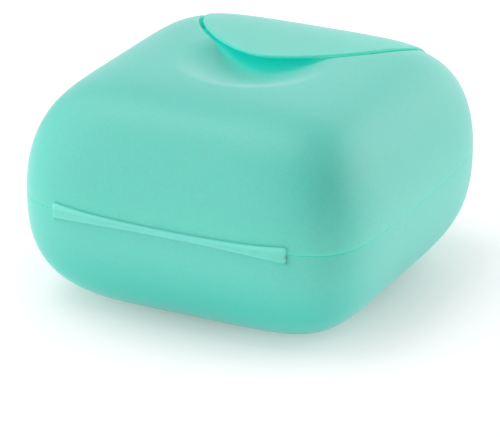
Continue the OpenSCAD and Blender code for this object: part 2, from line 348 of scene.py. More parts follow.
def lid_face(pillow, grow, low, inset, lip_out, lip_in, reach, seat_rows, lip_rows, outer_rows):
    """Rings of one face of the lid, from a point under the tongue out to the superellipse at the run reach.
    The rings follow the seat's outline, drop over its lip in two quarter rounds, and open out to the box's
    own outline along straight rays, whose lengths are found by halving."""
    outline = moon_outline(pillow, grow, low)
    normal = outward(outline)
    depth = seat_depth(pillow.sheet_angle(pillow.roll(outline[None])[0]))
    out = np.minimum(lip_out, depth * LIP_SHARE)[:, None]
    inner = np.minimum(lip_in, depth * LIP_SHARE)[:, None]
    depth = depth[:, None]

    shares = np.linspace(0, 1, seat_rows + 1)[1:] ** SEAT_CROWDING
    start = outline - normal * inner
    flats = MOON_MIDDLE + shares[:, None, None] * (start - MOON_MIDDLE)
    seat = pillow.sink(flats, seat_depth(pillow.sheet_angle(pillow.roll(flats))))

    quarter = np.linspace(0, math.pi / 2, lip_rows)[:, None, None]
    foot_in = inner * (1 - np.sin(quarter))
    foot_deep = depth - inner * (1 - np.cos(quarter))
    top_out = out * (1 - np.cos(quarter))
    top_deep = out * (1 - np.sin(quarter))
    low_lip = pillow.sink(outline - normal * foot_in, foot_deep[..., 0])
    high_lip = pillow.sink(outline + normal * top_out, top_deep[..., 0])

    first = outline + normal * out
    ray = first - MOON_MIDDLE
    near, far = np.zeros(COLUMNS), np.full(COLUMNS, FAR_OUT)
    for _ in range(HALVINGS):
        halfway = (near + far) / 2
        inside = pillow.radius(first + ray * halfway[:, None]) < reach
        near = np.where(inside, halfway, near)
        far = np.where(inside, far, halfway)
    shares = np.linspace(0, 1, outer_rows + 1)[1:] ** OUTER_CROWDING
    rest = pillow.roll(first + ray * near[:, None] * shares[:, None, None])
    return scoop(np.concatenate([seat, low_lip[1:], high_lip, rest]), inset)


def plan_rings(directions, rows):
    """Rings that keep the plan's shape: each row is a half width, a half depth and a height, and directions
    are points on the plan with half sizes of one."""
    rows = np.array(rows, float)
    flat = directions[None] * rows[:, None, :2]
    return np.dstack([flat[..., 0], flat[..., 1], np.repeat(rows[:, 2:], len(directions), 1)])


def plan_directions(count):
    """Points on the plan's superellipse with half sizes of one, closer together at the corners: those of a
    rounder superellipse at even turns, moved out along their rays."""
    turn = np.linspace(0, 2 * math.pi, count, endpoint=False)
    power = 2 / CORNER_CROWDING
    way = np.column_stack([signed_power(np.cos(turn), power), signed_power(np.sin(turn), power)])
    return way / plan_radius(way)[:, None]


def arc(centre, radius, start, end, steps):
    """Points (inset, height) round a centre, between two angles in degrees, where 0 points inwards and 90
    up."""
    turn = np.radians(np.linspace(start, end, steps + 1))
    return [(centre[0] + radius * math.cos(a), centre[1] + radius * math.sin(a)) for a in turn]


def inset_rows(profile):
    """Rows for plan_rings from (inset, height) points."""
    return [(HALF_W - inset, HALF_D - inset, z) for inset, z in profile]


def turned_out(points, faces):
    """The faces of a closed surface, turned outwards: reversed where its volume, summed over the cones from
    the origin to its triangles, is negative."""
    volume = 0
    for triangle in ([0, 1, 2], [0, 2, 3]):
        first, second, third = points[faces[:, triangle]].transpose(1, 0, 2)
        volume += (first * np.cross(second, third)).sum()
    return faces[:, ::-1] if volume < 0 else faces


def corners(face):
    """Corners of a face, without the one that a pole repeats."""
    if face[-1] == face[-2]:
        return face[:-1]
    return face[1:] if face[0] == face[1] else face


def make_mesh(name, *parts):
    """Mesh object in metres from closed surfaces in millimetres, shaded smooth."""
    points = np.concatenate([part[0] for part in parts])
    starts = np.cumsum([0] + [len(part[0]) for part in parts])
    faces = np.concatenate([turned_out(*part) + start for part, start in zip(parts, starts)])
    mesh = bpy.data.meshes.new(name)
    mesh.from_pydata((points * MM).tolist(), [], [corners(face) for face in faces.tolist()])
    mesh.validate()
    mesh.shade_smooth()
    piece = bpy.data.objects.new(name, mesh)
    bpy.context.scene.collection.objects.link(piece)
    return piece


def capped(rings):
    """Closed surface through a stack of rings, with a pole in the mean of each end ring."""
    count, columns = rings.shape[:2]
    points = np.concatenate([rings.reshape(-1, 3), [rings[0].mean(0), rings[-1].mean(0)]])
    here = np.arange(columns)
    there = (here + 1) % columns
    rows = (np.arange(count - 1) * columns)[:, None]
    sides = np.stack([rows + here, rows + there, rows + columns + there, rows + columns + here], -1)
    first = np.full(columns, count * columns)
    last = (count - 1) * columns
    start = np.column_stack([first, first, there, here])
    end = np.column_stack([last + here, last + there, first + 1, first + 1])
    return points, np.concatenate([sides.reshape(-1, 4), start, end])


def looped(rings):
    """Closed surface whose last ring meets its first."""
    count, columns = rings.shape[:2]
    here = np.arange(columns)
    there = (here + 1) % columns
    rows = np.arange(count)[:, None] * columns
    after = (np.arange(count)[:, None] + 1) % count * columns
    sides = np.stack([rows + here, rows + there, after + there, after + here], -1)
    return rings.reshape(-1, 3), sides.reshape(-1, 4)


def lid_piece():
    """The lid: its outer face, the rim with a small round on each side, the ledge that backs the seal ring,
    and its inner face with the dent under the seat."""
    outer = lid_face(LID_OUTSIDE, SEAT_GAP, SEAT_LOW, inset=0, lip_out=LIP_R, lip_in=LIP_FOOT_R,
                     reach=LID_OUTSIDE.run_at_rise(EDGE_R), seat_rows=28, lip_rows=6, outer_rows=76)
    rim = outer[-1, :, :2] / LID_OUTSIDE.half
    rim /= plan_radius(rim)[:, None]
    ledge = seal_high[2]
    ledge_in = SEAL_INSET + BAND_T - EDGE_R
    profile = arc((EDGE_R, SEAM + EDGE_R), EDGE_R, 180, 270, 5)[1:]
    profile += [(EDGE_R + HOLD, SEAM), (WALL - EDGE_R - HOLD, SEAM)]
    profile += arc((WALL - EDGE_R, SEAM + EDGE_R), EDGE_R, 270, 360, 4)
    profile += [(WALL, SEAM + 5 * HOLD), (WALL, ledge - HOLD), (WALL + HOLD, ledge), (ledge_in - HOLD, ledge)]
    profile += arc((ledge_in, ledge + EDGE_R), EDGE_R, 270, 360, 3)
    profile += arc((ledge_in, ledge + LEDGE_H - EDGE_R), EDGE_R, 0, 90, 3)
    inner = lid_face(LID_INSIDE, SEAT_GAP + WALL, DENT_LOW, inset=WALL, lip_out=DENT_LIP_R, lip_in=DENT_LIP_R,
                     reach=LID_INSIDE.run_at_rise(ledge + LEDGE_H - SEAM), seat_rows=14, lip_rows=4,
                     outer_rows=30)
    rings = np.concatenate([outer, plan_rings(rim, inset_rows(profile)), inner[::-1]])
    return make_mesh("lid_shell_moulding", capped(rings))


def foot_rows():
    """Rows of the underside from its middle out: a raised gate mark, the hollow, and the hollow's slope,
    which is half a cosine wave."""
    mark = POCKET_DEPTH - GATE_H
    gate = ((0.25, mark), (0.8, mark), (1, POCKET_DEPTH - HOLD), (1.1, POCKET_DEPTH))
    rows = [(GATE_R * share, GATE_R * share, z) for share, z in gate]
    slope_in, slope_w = 0.02, 0.03
    rows += [(HALF_W * s, HALF_D * s, POCKET_DEPTH) for s in np.linspace(0.08, POCKET_SCALE - slope_w, 12)]
    for step in np.linspace(0, 1, 8):
        scale = POCKET_SCALE - slope_in + slope_w * step
        rows.append((HALF_W * scale, HALF_D * scale, POCKET_DEPTH * (1 + math.cos(math.pi * step)) / 2))
    return rows


def wall_rows():
    """Rows of the outside from the hollow to just under the rim. The wall falls from the seam by
    height * (1 - scale ** wall_power) ** (1 / crown_power), and a soft maximum with zero cuts it flat."""
    floor_angle = math.asin((SEAM / BASE_ROUND_H) ** (BASE_CROWN_POWER / 2))
    foot_scale = math.cos(floor_angle) ** (2 / BASE_WALL_POWER)
    flat = np.linspace(POCKET_SCALE + 0.02, foot_scale, 10, endpoint=False)
    angles = floor_angle * (1 - np.linspace(0, 1, 64))
    scales = np.concatenate([flat, np.cos(angles) ** (2 / BASE_WALL_POWER)])
    falls = BASE_ROUND_H * (1 - scales ** BASE_WALL_POWER) ** (1 / BASE_CROWN_POWER)
    heights = soft_max(SEAM - falls, 0.0, FOOT_FILLET)
    top = SEAM - BASE_EDGE_R * 1.3
    return [(HALF_W * s, HALF_D * s, z) for s, z in zip(scales, heights) if z < top]


def collar_rows():
    """Rows of the rim's round, the shelf that the lid closes on, and the collar with its rounded top and
    root."""
    collar = WALL + COLLAR_GAP
    inner = collar + COLLAR_T
    round_z = COLLAR_TOP - COLLAR_ROUND_R
    profile = arc((BASE_EDGE_R, SEAM - BASE_EDGE_R), BASE_EDGE_R, 180, 90, 6)
    profile += [(BASE_EDGE_R + HOLD, SEAM), (collar - HOLD, SEAM)]
    profile += [(collar, SEAM + HOLD), (collar, round_z - HOLD)]
    profile += arc((collar + COLLAR_ROUND_R, round_z), COLLAR_ROUND_R, 180, 90, 6)
    profile += arc((inner - COLLAR_ROUND_R, round_z), COLLAR_ROUND_R, 90, 0, 6)
    profile += [(inner, SEAM)] + [(inner - out, SEAM - COLLAR_ROOT + up) for out, up in ROOT_ROUND]
    return inset_rows(profile)


def cavity_rows():
    """Rows of the inside from under the collar to the middle of the floor: the outside's curve with sizes
    one wall smaller, which a soft maximum with the wall's thickness cuts flat. What is left of the fillet
    dies out over the outer tenth of the floor."""
    height = BASE_ROUND_H - WALL
    start = math.asin(((COLLAR_ROOT + ROOT_ROUND[0][1]) / height) ** (BASE_CROWN_POWER / 2))
    end = math.asin(((SEAM - WALL) / height) ** (BASE_CROWN_POWER / 2))
    rows = []
    for angle in np.linspace(start, end, 40):
        scale = math.cos(angle) ** (2 / BASE_WALL_POWER)
        z = float(soft_max(SEAM - height * math.sin(angle) ** (2 / BASE_CROWN_POWER), WALL, FLOOR_FILLET))
        rows.append(((HALF_W - WALL) * scale, (HALF_D - WALL) * scale, z))
    half_w, half_d, low = rows[-1]
    inner_share, tenths = 0.9, 10
    rows += [(half_w * s, half_d * s, WALL + (low - WALL) * max(0, (s - inner_share) * tenths) ** 2)
             for s in np.linspace(0.975, 0.02, 24)]
    return rows


def base_piece():
    """The base: hollowed foot, bulging wall, rim, collar, and the cavity with its floor."""
    rows = foot_rows() + wall_rows() + collar_rows() + cavity_rows()
    return make_mesh("base_shell_moulding", capped(plan_rings(plan_directions(BASE_COLUMNS), rows)))


def clasp_face(flat, share, thin=0.0):
    """Points of the clasp over the unrolled lid, from its outer face at share 0 to its inner face at 1. The
    tongue stands proud in the middle and sinks to the lid at its ends and its back, with
    (1 - across ** 2) * (1 - back ** 2) for a point's shares of the way to them. Thin takes its underside
    off."""
    points = LID_OUTSIDE.roll(flat)
    reach = LID_OUTSIDE.half_depth(points[..., 0])
    share = share * (1 - thin)
    out = SIDE_GAP + CLASP_T * (1 - share)
    across = np.minimum(np.abs(points[..., 0]) / CLASP_HALF_W, 1)
    back = np.clip((points[..., 1] - TONGUE_FRONT) / (HALF_D - TONGUE_FRONT), 0, 1)
    proud = TONGUE_PROUD * (1 - across ** 2) * (1 - back ** 2)
    lift = proud + (TONGUE_PROUD - CLASP_T - proud) * share
    points[..., 1] *= (reach + out) / reach
    points[..., 2] = SEAM + (points[..., 2] - SEAM) * (LID_H + lift) / LID_H
    return points


def clasp_piece():
    """The clasp: a sheet over the far shoulder of the lid, with rounded edges all round its outline. Its
    tongue thins towards its front edge, which leaves room for a fingertip, over the outer fifth of its
    underside."""
    outline = moon_outline(LID_OUTSIDE, 0, CLASP_LOW)
    normal = outward(outline)
    column = np.arange(COLUMNS)
    past_moon = np.maximum(column - MOON_POINTS, 0)
    past_moon = np.where(column > COLUMNS - SIDE_POINTS, COLUMNS - column, past_moon)
    fade_columns = 12
    lip = TONGUE_THIN * np.clip(1 - past_moon / fade_columns, 0, 1)
    edge_t = CLASP_T * (1 - TONGUE_THIN)
    face_rows, crowding, thinned = 41, 0.9, 0.2
    shares = np.linspace(0, 1, face_rows)[1:, None, None] ** crowding
    top = clasp_face(MOON_MIDDLE + shares * (outline - normal * TOP_EDGE_R - MOON_MIDDLE), 0.0)
    turn = np.linspace(0, math.pi / 2, 8)[1:, None, None]
    drop = TOP_EDGE_R * (1 - np.cos(turn)) / edge_t
    front = clasp_face(outline - normal * TOP_EDGE_R * (1 - np.sin(turn)), drop[..., 0], lip)
    turn = np.linspace(0, math.pi / 2, 6)[:, None, None]
    rise = LOW_EDGE_R * (1 - np.sin(turn)) / edge_t
    back = clasp_face(outline - normal * LOW_EDGE_R * (1 - np.cos(turn)), 1 - rise[..., 0], lip)
    shares = np.linspace(1, 0, face_rows)[1:-1, None, None]
    fade = lip * (1 - smooth_step(1 - shares[..., 0], start=0, width=thinned))
    under = clasp_face(MOON_MIDDLE + shares * (outline - normal * LOW_EDGE_R - MOON_MIDDLE), 1.0, fade)
    return make_mesh("clasp_moulding", capped(np.concatenate([top, front, back, under])))


def strap_piece(name, half_l, side, proud, floors, back_steps):
    """Waisted strap on a wall: its height grows from the waist with the power STRAP_POWER of the distance
    along x. Each section has a superellipse front, rounder at the waist, which falls to floors[0] above and
    to floors[1] below, and a stepped back, given as (height, distance out) pairs. The end faces dip at the
    fold. The attribute edge runs from 1 on the upper edge of the front to -1 on its lower edge."""
    spread = 0.9
    turn = np.linspace(-1, 1, 240)
    x = half_l * np.sin(turn * math.pi / 2 * spread) / math.sin(math.pi / 2 * spread)
    near_end = np.clip((half_l - np.abs(x)) / STRAP_END_R, 0, 1)
    shrink = STRAP_END_R * (1 - np.sqrt(1 - (1 - near_end) ** 2))
    share = (np.abs(x) / half_l) ** STRAP_POWER
    half_h = (STRAP_WAIST_H + (STRAP_END_H - STRAP_WAIST_H) * share) / 2 - shrink
    waist_power, added_power = 2.2, 1.6
    front_power = waist_power + added_power * share
    angle = np.linspace(math.pi / 2, -math.pi / 2, 33)[:, None]
    rise = signed_power(np.sin(angle), 2 / front_power)
    bulge = np.abs(np.cos(angle)) ** (2 / front_power)
    floor_out = np.where(rise > 0, floors[0], floors[1])
    front_out = floor_out + (proud - shrink - floor_out) * bulge
    back_reach = 0.96
    back_z = FOLD + half_h * np.linspace(-back_reach, back_reach, 17)[:, None]
    back_out = np.interp(back_z, *zip(*back_steps))
    out = np.concatenate([front_out, back_out])
    z = np.concatenate([FOLD + half_h * rise, back_z])
    dip_depth, dip_half_h, dip_reach = 0.35, 0.5, 1.2
    dip = dip_depth * np.exp(-((z - FOLD) / dip_half_h) ** 2) * np.exp(-(half_l - np.abs(x)) / dip_reach)
    along = x - np.sign(x) * dip
    y = side * (LID_OUTSIDE.half_depth(x) + out)
    piece = make_mesh(name, capped(np.dstack([along, y, z]).transpose(1, 0, 2)))
    height = np.concatenate([rise, 0 * back_z])
    edge = piece.data.attributes.new("edge", "FLOAT", "POINT")
    edge.data.foreach_set("value", np.append(height.T.ravel(), [0, 0]).astype(np.float32))
    return piece


def seal_piece():
    """The seal ring: a band with rounded corners that follows the plan."""
    corner = SEAL_CORNER_R
    outer, inner = SEAL_INSET + corner, SEAL_INSET + BAND_T - corner
    low, high = seal_low[2] + corner, seal_high[2] - corner
    profile = []
    for centre, start in (((outer, low), 180), ((inner, low), 270), ((inner, high), 0), ((outer, high), 90)):
        profile += arc(centre, corner, start, start + 90, 5)
    return make_mesh("seal_ring_soft", looped(plan_rings(plan_directions(SEAL_COLUMNS), inset_rows(profile))))


def tray_outline(inset):
    """The tray's outline moved in by inset: the plan with a round finger notch in the middle of each side.
    The notch grows by NOTCH_GROWTH at most, and a column lies at the same corner on each such outline. A
    weighted mean of five neighbours takes the sharpness off the corners."""
    half = TRAY_HALF - inset
    notch = NOTCH_R + NOTCH_GROWTH * (1 - math.exp(-inset / NOTCH_GROWTH))
    notch_end = math.acos(inset / notch)
    turn = np.linspace(0, notch_end, 28, endpoint=False)
    round_notch = np.column_stack([TRAY_HALF[0] - notch * np.cos(turn), notch * np.sin(turn)])
    low = math.atan2(notch * math.sin(notch_end), half[0])
    turn = np.linspace(low, math.pi / 2, 4001)
    way = np.column_stack([np.cos(turn), np.sin(turn)])
    side = way / plan_radius(way / half)[:, None]
    run = np.concatenate([[0], np.cumsum(np.hypot(*np.diff(side, axis=0).T))])
    even = np.linspace(0, run[-1], 130)
    side = np.column_stack([np.interp(even, run, side[:, 0]), np.interp(even, run, side[:, 1])])
    quarter = np.concatenate([round_notch, side])
    upper = np.concatenate([quarter, (quarter * (-1, 1))[-2::-1]])
    loop = np.concatenate([upper, (upper * (1, -1))[-2:0:-1]])
    return sum(np.roll(loop, shift, 0) for shift in (-2, -1, -1, 0, 0, 0, 1, 1, 2)) / 9


def flat_ring(outline, z):
    """Ring at a height, or at a height for each of its points."""
    return np.column_stack([outline, np.broadcast_to(z, len(outline))])


def slot_outline(grow, half_x, half_y, flat=False):
    """A slot's round-ended outline grown by grow, or with flat its cell's rectangle with the same columns."""
    turn = np.linspace(0, math.pi, 25)
    rise = np.linspace(-1, 1, 41)[1:-1]
    reach = half_x + grow
    end_x = reach * np.cos(turn)
    end_y = half_y + (grow if flat else reach * np.sin(turn)) + 0 * turn
    side = np.column_stack([np.full(len(rise), reach), half_y * rise])
    end = np.column_stack([end_x, end_y])
    return np.concatenate([end, -side, -end, side])


def tray_frame():
    """The part of the tray around its slots: a hidden inner edge, the underside, the wall, the rounded rim,
    which smoothly ends at the notches, its inner fillet, and the plate."""
    corner = TRAY_EDGE_R
    outer = tray_outline(0)
    rim = TRAY_RIM_H * smooth_step(np.abs(outer[:, 1]) - NOTCH_R, start=0.4, width=1.8)
    side_margin, end_margin = 0.7, 1.6
    inner = SLOT_PITCH * SLOT_PAIRS + SLOT_W / 2 + side_margin, SLOT_L / 2 + end_margin
    way = outer / np.abs(outer / inner).max(1)[:, None]
    under = TRAY_UNDER + FRAME_STEP
    under_inset, plate_inset = 1.2, 2.6
    rings = [flat_ring(way, z) for z in (TRAY_TOP - ROOT, TRAY_UNDER + ROOT, under)]
    rings.append(flat_ring(tray_outline(under_inset), under))
    for inset, z in arc((corner, under + corner), corner, 270, 180, 4):
        rings.append(flat_ring(tray_outline(inset), z))
    for inset, drop in arc((corner, -corner), corner, 180, 90, 5):
        rings.append(flat_ring(tray_outline(inset), TRAY_TOP + rim + drop))
    for inset, drop in arc((TRAY_RIM_T - corner, -corner), corner, 90, 0, 5):
        rings.append(flat_ring(tray_outline(inset), TRAY_TOP + rim + drop * np.minimum(1, rim / corner)))
    for turn in np.radians([0, 22, 45, 67, 90]):
        inset = TRAY_RIM_T + TRAY_FILLET * (1 - math.cos(turn))
        z = TRAY_TOP + np.minimum(TRAY_FILLET, rim) * (1 - math.sin(turn))
        rings.append(flat_ring(tray_outline(inset), z))
    last = tray_outline(plate_inset)
    rings.append(flat_ring(last, TRAY_TOP))
    for share in (0.4, 0.9, 1.0):
        rings.append(flat_ring(last + (way - last) * share, TRAY_TOP - FRAME_STEP * share))
    return looped(np.array(rings))


def tray_cell(middle, sunk):
    """The plate around one slot, with rounded slot edges. Its neighbours overlap it by a hair under the
    ribs, and every other one is sunk by a hundredth, so that no two faces lie in one plane."""
    end_margin = 2.5
    cell = SLOT_PITCH / 2 + CELL_OVERLAP, SLOT_L / 2 + end_margin
    wide, straight = SLOT_W / 2, (SLOT_L - SLOT_W) / 2
    edge = SLOT_EDGE_R
    bevel_h, bevel_in = 0.02, (-0.01, -0.06)
    rows = [(0, TRAY_UNDER + bevel_h), (0, TRAY_TOP - bevel_h)] + [(grow, TRAY_TOP) for grow in bevel_in]
    rings = [flat_ring(slot_outline(grow, *cell, flat=True), z) for grow, z in rows]
    slot = [(edge + HOLD, TRAY_TOP)] + arc((edge, TRAY_TOP - edge), edge, 90, 180, 4)
    slot += arc((edge, TRAY_UNDER + edge), edge, 180, 270, 4) + [(edge + HOLD, TRAY_UNDER)]
    rings += [flat_ring(slot_outline(grow, wide, straight), z) for grow, z in slot]
    rings += [flat_ring(slot_outline(grow, *cell, flat=True), TRAY_UNDER) for grow in bevel_in[::-1]]
    rings = np.array(rings)
    rings[..., 0] += middle
    rings[..., 2] -= sunk
    return looped(rings)


def tray_rib(middle):
    """A rib between two slots, rounded along its top."""
    wide, straight = RIB_W / 2, (SLOT_L - RIB_W) / 2
    top = TRAY_TOP + RIB_H
    rows = [(0, TRAY_TOP - ROOT), (0, TRAY_TOP + HOLD)]
    top_inset = 0.8
    rows += [(-inset, z) for inset, z in arc((ROUND_R, top - ROUND_R), ROUND_R, 180, 90, 6)]
    rows.append((-top_inset, top))
    rings = np.array([flat_ring(slot_outline(grow, wide, straight), z) for grow, z in rows])
    rings[..., 0] += middle
    return capped(rings)


def tray_leg(x, y):
    """A round leg with a rounded foot and a small fillet under the plate."""
    turn = np.linspace(0, 2 * math.pi, 48, endpoint=False)
    foot = tray_low[2]
    rows = [(LEG_R * 0.3, foot), (LEG_R - ROUND_R, foot)]
    rows += [(LEG_R - inset, z) for inset, z in arc((ROUND_R, foot + ROUND_R), ROUND_R, 270, 180, 5)]
    rows += [(LEG_R + wider, TRAY_UNDER + z) for wider, z in LEG_FILLET]
    return capped(np.array([flat_ring(np.column_stack([x + r * np.cos(turn), y + r * np.sin(turn)]), z)
                            for r, z in rows]))


def tray_piece():
    """The drain tray: its frame, its slot cells, the ribs between them and four legs."""
    parts = [tray_frame()]
    parts += [tray_cell(i * SLOT_PITCH, CELL_SINK * (i % 2)) for i in range(-SLOT_PAIRS, SLOT_PAIRS + 1)]
    parts += [tray_rib((i + 0.5) * SLOT_PITCH) for i in range(-SLOT_PAIRS - 1, SLOT_PAIRS + 1)]
    parts += [tray_leg(x, y) for x in (-LEG_AT, LEG_AT) for y in (-LEG_AT, LEG_AT)]
    return make_mesh("drain_tray_moulding", *parts)


class Socket:
    """A shader socket that takes part in sums: each operation adds its Math node."""

    def __init__(self, shader, socket):
        self.shader = shader
        self.socket = socket

    def _math(self, operation, first, second):
        return self.shader.node("ShaderNodeMath", {"operation": operation}, {0: first, 1: second})

    def __add__(self, other):
        return self._math("ADD", self, other)

    def __sub__(self, other):
        return self._math("SUBTRACT", self, other)

    def __rsub__(self, other):
        return self._math("SUBTRACT", other, self)

    def __mul__(self, other):
        return self._math("MULTIPLY", self, other)

    def __lt__(self, other):
        return self._math("LESS_THAN", self, other)

    __radd__ = __add__
    __rmul__ = __mul__


class Finish:
    """A material whose nodes are made by one method."""

    def __init__(self, name):
        self.material = bpy.data.materials.new(name)
        self.material.use_nodes = True
        self.nodes = self.material.node_tree.nodes
        self.links = self.material.node_tree.links
        self.shader = self.nodes["Principled BSDF"]
        self.place = self.node("ShaderNodeTexCoord", output="Object")

    def node(self, kind, settings=None, inputs=None, output=0):
        """Adds a node: its settings first, then the values or links of its sockets."""
        made = self.nodes.new(kind)
        for key, value in (settings or {}).items():
            setattr(made, key, value)
        for key, value in (inputs or {}).items():
            self.feed(made.inputs[key], value)
        return Socket(self, made.outputs[output])

    def feed(self, target, value):
        """Links a socket to another, or sets its value."""
        if isinstance(value, Socket):
            self.links.new(value.socket, target)
        else:
            target.default_value = value

    def noise(self, scale, detail=2.0, roughness=0.5):
        """Noise on the piece's own coordinates, with this many waves to a metre."""
        return self.node("ShaderNodeTexNoise", {}, {"Vector": self.place, "Scale": scale, "Detail": detail,
                                                     "Roughness": roughness})

    def ramp(self, value, start, end):
        """0 on the start's side, 1 past the end, and a smooth rise between the two. The end may be the
        lower."""
        return self.node("ShaderNodeMapRange", {"interpolation_type": "SMOOTHSTEP"},
                         {"Value": value, "From Min": start, "From Max": end})

    def blend(self, mask, low, high):
        """Colour low where the mask is 0, high where it is 1."""
        return self.node("ShaderNodeMix", {"data_type": "RGBA"}, {0: mask, 6: low, 7: high}, 2)

    def bump(self, height, distance, strength, normal=None):
        """Normal for a relief, laid on another relief where one is given."""
        inputs = {"Height": height, "Distance": distance, "Strength": strength}
        if normal is not None:
            inputs["Normal"] = normal
        return self.node("ShaderNodeBump", {}, inputs)

    def set(self, **values):
        """Feeds the shader's own sockets, named with _ for each space."""
        for key, value in values.items():
            self.feed(self.shader.inputs[key.replace("_", " ")], value)


def colour(red, green, blue):
    """Linear colour from a red, green and blue given as seen on a screen, 0 to 255."""
    def linear(value):
        value /= 255
        return value / 12.92 if value < 0.04045 else ((value + 0.055) / 1.055) ** 2.4
    return linear(red), linear(green), linear(blue), 1


# Looks of the mint plastic, as linear colours and metres. FLOW_MARKS are two faint marks on the side wall.
# The pairs are where a ramp starts and ends: the painted shade at the foot and the painted light round the
# tongue by height, the shallow groove, where most of the painted crevice colour is taken off, by the distance
# across, an ambient-occlusion value for the painted light and shade in crevices, and the strap's attribute
# for the painted highlight on its upper edge and the painted shade on its lower edge.
BLACK = (0.0, 0.0, 0.0, 1)
# Painted shade at the foot: a deeper colour towards the bottom of the box
FOOT_PAINTED_SHADE = (0.0, 0.61, 0.49, 1)
FOOT_PAINTED_SHADE_RAMP = (0.025, 0.004)
TONGUE_RAMP = (0.038, 0.047)
SHALLOW_RAMP = (0.011, 0.017)
# Painted glow in the shallow groove towards the tongue's right end, and the share of the painted crevice
# colour taken off there
SHALLOW_PAINTED_GLOW = (0.05, 0.165, 0.143, 1)
SHALLOW_CREVICE_PAINT_CUT = 0.9
# Crevices found by ambient occlusion within this reach get painted light and shade: a colour of their own and
# a glow
CREVICE_REACH = 0.011
PAINTED_CREVICE_RAMP = (0.90, 0.15)
# Painted highlight on the strap's upper edge and painted shade on its lower edge
PAINTED_TOP_HIGHLIGHT = (0.20, 0.79, 0.68, 1)
PAINTED_TOP_HIGHLIGHT_RAMP = (0.2, 0.75)
PAINTED_UNDER_SHADE = (0.02, 0.50, 0.41, 1)
PAINTED_UNDER_SHADE_RAMP = (-0.50, -0.80)
SPECK_CELLS = 34.0
SPECK_R = 0.016
FLOW_MARKS = ((0.0500, 0.0086, 0.0306), (0.0499, -0.0109, 0.0255))
FLOW_MARK_RAMP = (0.0011, 0.0002)
FLOW_MARK_SHARE = 0.7
MARK_TONE = 0.8
MARK_SHARE = 0.5
# The strap's painted crevice light: a colour swapped in where ambient occlusion finds a crevice
STRAP_CREVICE_PAINTED_LIGHT = (0.12, 0.70, 0.58, 1)


def mint_plastic(name, deep, pale, crevice_painted_light, tongue_painted_glow, low_crevice_painted_light, low_painted_glow, gloss, painted_edge_light=False):
    """Satin polypropylene: a fine spark-eroded grain, a slow wander of colour and gloss from the melt's
    flow, a few faint specks, and a painted shade at the foot, a deeper colour towards the bottom. Crevices
    found by ambient occlusion get painted light, which stands in for light that has passed through the
    plastic and lost its white share: round the tongue a bright colour and a painted glow, lower down a colour
    and a glow of their own. With painted edge light, the upper edge gets a painted highlight and the lower
    edge a painted shade."""
    finish = Finish(name)
    flow = finish.noise(45, detail=3)
    tone = finish.noise(260)
    mottle = finish.noise(1500, detail=3, roughness=0.7)
    flow_share, tone_share, mottle_share, offset = 0.3, 0.2, 1.4, 0.45
    wander = flow * flow_share + tone * tone_share + mottle * mottle_share - offset
    body = finish.blend(wander, deep, pale)
    mark = finish.node("ShaderNodeTexVoronoi", {}, {"Vector": finish.place, "Scale": SPECK_CELLS}) < SPECK_R
    for spot in FLOW_MARKS:
        ends = {0: finish.place, 1: spot}
        away = finish.node("ShaderNodeVectorMath", {"operation": "DISTANCE"}, ends, "Value")
        mark = mark + finish.ramp(away, *FLOW_MARK_RAMP) * FLOW_MARK_SHARE
    dark = tuple(MARK_TONE * part for part in deep[:3]) + (1,)
    tinted = finish.blend(mark * MARK_SHARE, body, dark)

    height = finish.node("ShaderNodeSeparateXYZ", {}, {0: finish.place}, "Z")
    across = finish.node("ShaderNodeSeparateXYZ", {}, {0: finish.place}, "X")
    foot = finish.ramp(height, *FOOT_PAINTED_SHADE_RAMP)
    by_tongue = finish.ramp(height, *TONGUE_RAMP)
    # Towards the tongue's right end, where the groove is shallow, most of the painted crevice colour is taken
    # off and the painted glow has a colour of its own
    shallow = finish.ramp(across, *SHALLOW_RAMP) * by_tongue
    # Painted light and shade in crevices: an ambient-occlusion mask, weaker at the foot, that swaps in the
    # crevice colours
    open_air = finish.node("ShaderNodeAmbientOcclusion", {"samples": 8}, {"Distance": CREVICE_REACH}, "AO")
    shaded = finish.ramp(open_air, *PAINTED_CREVICE_RAMP) * (1 - foot)

    # Painted shade: the colour turns deeper towards the bottom of the box
    tinted = finish.blend(foot, tinted, FOOT_PAINTED_SHADE)
    # Painted highlight along the strap's upper edge and painted shade along its lower edge
    if painted_edge_light:
        edge = finish.node("ShaderNodeAttribute", {"attribute_name": "edge"}, {}, "Fac")
        tinted = finish.blend(finish.ramp(edge, *PAINTED_TOP_HIGHLIGHT_RAMP), tinted, PAINTED_TOP_HIGHLIGHT)
        tinted = finish.blend(finish.ramp(edge, *PAINTED_UNDER_SHADE_RAMP), tinted, PAINTED_UNDER_SHADE)
    # Painted crevice colour: bright round the tongue, standing in for light through the plastic, and its own
    # tint lower down
    crevice_painted_colour = finish.blend(by_tongue, low_crevice_painted_light, crevice_painted_light)
    finish.set(Base_Color=finish.blend(shaded * (1 - shallow * SHALLOW_CREVICE_PAINT_CUT), tinted, crevice_painted_colour))
    # Painted glow: the crevices give off light through emission, though the plastic is no lamp
    painted_glow_colour = finish.blend(shallow, finish.blend(by_tongue, low_painted_glow, tongue_painted_glow), SHALLOW_PAINTED_GLOW)
    finish.set(Emission_Color=finish.blend(shaded, BLACK, painted_glow_colour), Emission_Strength=1.0)

    finish.set(Roughness=finish.noise(900) * 0.08 + flow * 0.05 + gloss)
    rolled = finish.bump(finish.noise(70, detail=1), distance=0.00012, strength=0.6)
    grain = finish.noise(5200, roughness=0.6)
    finish.set(Normal=finish.bump(grain, distance=0.000012, strength=0.35, normal=rolled))
    finish.set(Specular_IOR_Level=0.9)
    finish.set(Sheen_Weight=0.55, Sheen_Roughness=0.4, Sheen_Tint=(0.85, 0.95, 1.0, 1.0))
    finish.set(Subsurface_Weight=1.0, Subsurface_Scale=0.0022, Subsurface_Radius=(0.25, 1.0, 0.8))
    return finish.material


